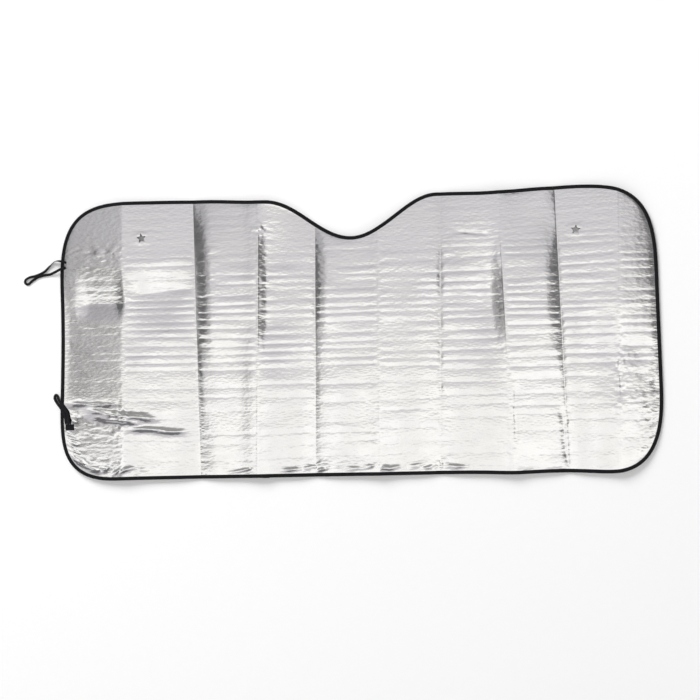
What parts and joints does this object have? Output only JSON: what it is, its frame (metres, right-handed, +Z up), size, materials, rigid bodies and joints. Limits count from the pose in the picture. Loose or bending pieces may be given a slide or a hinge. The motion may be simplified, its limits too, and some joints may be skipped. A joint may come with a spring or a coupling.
{
  "type": "windscreen sunshade",
  "caption": "Foil-faced accordion-fold car windscreen sunshade with a mirror notch, dark woven edge binding, star-shaped suction cup holes and elastic holding loops.",
  "frame": {"origin": "at floor level under the middle of the bound sheet's box, the elastic loops left out", "axes": "+X along the width, towards the end without elastic loops; +Y towards the edge with the mirror notch; +Z up, out of the foil face"},
  "size_m": [1.3778, 0.6108, 0.0157],
  "materials": {
    "foil": "bright crinkled foil laminated on thin foam",
    "woven_tape": "matt woven polyester tape",
    "elastic": "matt knitted elastic"
  },
  "bodies": {
    "root": {"foil_sheet": "foil", "edge_binding": "woven_tape", "upper_elastic_loop": "elastic", "lower_elastic_loop": "elastic", "lower_loop_tab": "elastic"}
  },
  "joints": []
}
